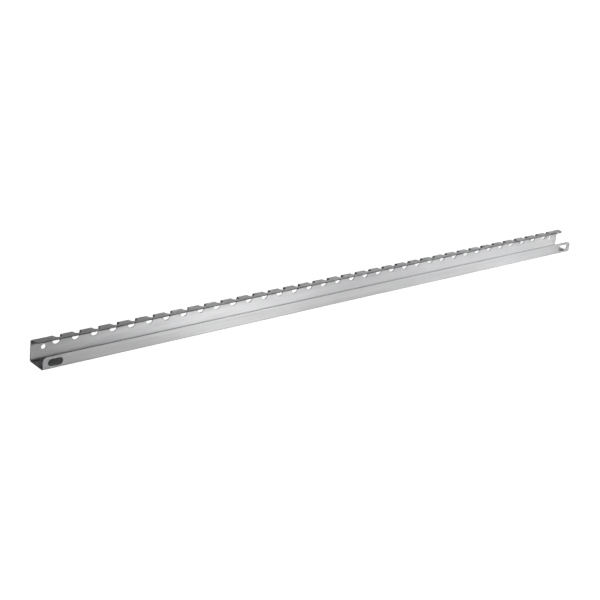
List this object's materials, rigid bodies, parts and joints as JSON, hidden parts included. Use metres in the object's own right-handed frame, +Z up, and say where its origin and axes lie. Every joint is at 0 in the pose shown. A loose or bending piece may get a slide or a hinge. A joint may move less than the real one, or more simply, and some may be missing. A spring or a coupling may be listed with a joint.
{
  "type": "knife magnetic rack",
  "caption": "Long folded steel channel for a wall, with notches along its top fold and a magnet bar behind its low front wall that holds knife blades.",
  "frame": {"origin": "middle of the rack's length and depth, on the underside of the bottom plate", "axes": "+X along the rack, +Y from the front wall to the back wall, +Z up"},
  "size_m": [0.9144, 0.028, 0.0265],
  "materials": {
    "stainless_sheet": "fine lengthwise brushed stainless steel",
    "foam_tape": "dark grey acrylic foam tape",
    "carrier_plastic": "black moulded plastic",
    "plated_steel": "zinc plated mild steel",
    "ferrite": "ground grey ferrite"
  },
  "bodies": {
    "root": {"rack_channel": "stainless_sheet", "bonding_tape": "foam_tape", "magnet_carrier": "carrier_plastic", "yoke_strip": "plated_steel", "magnet_01": "ferrite", "magnet_02": "ferrite", "magnet_03": "ferrite", "magnet_04": "ferrite", "magnet_05": "ferrite", "magnet_06": "ferrite", "magnet_07": "ferrite", "magnet_08": "ferrite", "magnet_09": "ferrite", "magnet_10": "ferrite", "magnet_11": "ferrite", "magnet_12": "ferrite", "magnet_13": "ferrite", "magnet_14": "ferrite", "magnet_15": "ferrite", "magnet_16": "ferrite", "magnet_17": "ferrite", "magnet_18": "ferrite", "magnet_19": "ferrite", "magnet_20": "ferrite"}
  },
  "joints": []
}
